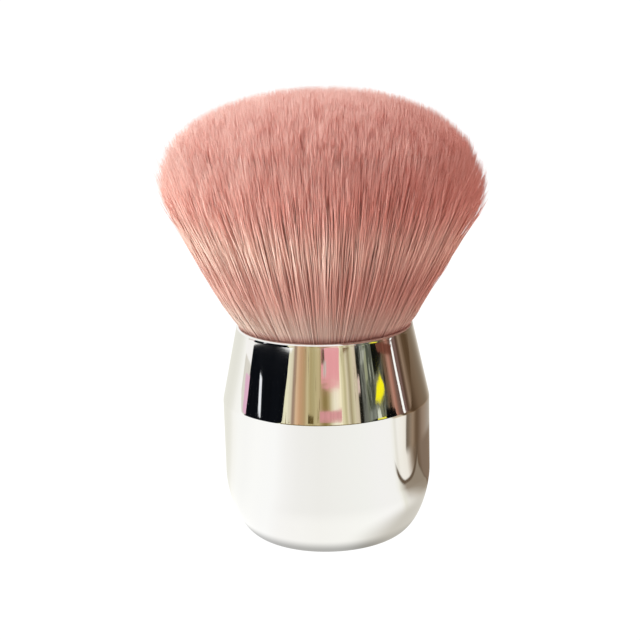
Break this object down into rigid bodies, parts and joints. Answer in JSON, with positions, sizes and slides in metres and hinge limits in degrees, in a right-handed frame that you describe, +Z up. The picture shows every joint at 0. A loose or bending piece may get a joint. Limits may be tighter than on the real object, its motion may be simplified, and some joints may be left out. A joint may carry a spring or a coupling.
{
  "type": "kabuki makeup brush",
  "caption": "Short kabuki makeup brush: a mirror-finish weighted handle with a flat foot and tapered neck, and a wide, domed head of fine filaments.",
  "frame": {"origin": "centre of the flat foot that the brush stands on", "axes": "+Z up along the handle's axis, through the middle of the head; +X and +Y square to it, the part being round"},
  "size_m": [0.0567, 0.0569, 0.0789],
  "materials": {
    "plated_handle": "mirror-bright plating over moulded plastic",
    "weight_steel": "turned, dull",
    "set_adhesive": "cloudy, set adhesive",
    "ferrule_metal": "drawn, satin",
    "resin": "cast resin, glossy",
    "thread": "wound thread",
    "filament": "fine tapered synthetic filament, soft sheen"
  },
  "bodies": {
    "root": {"handle_shell": "plated_handle", "counterweight": "weight_steel", "weight_adhesive": "set_adhesive", "ferrule_cup": "ferrule_metal", "ferrule_adhesive": "set_adhesive", "root_resin": "resin", "binding_thread": "thread", "bristle_tuft": "filament"}
  },
  "joints": []
}
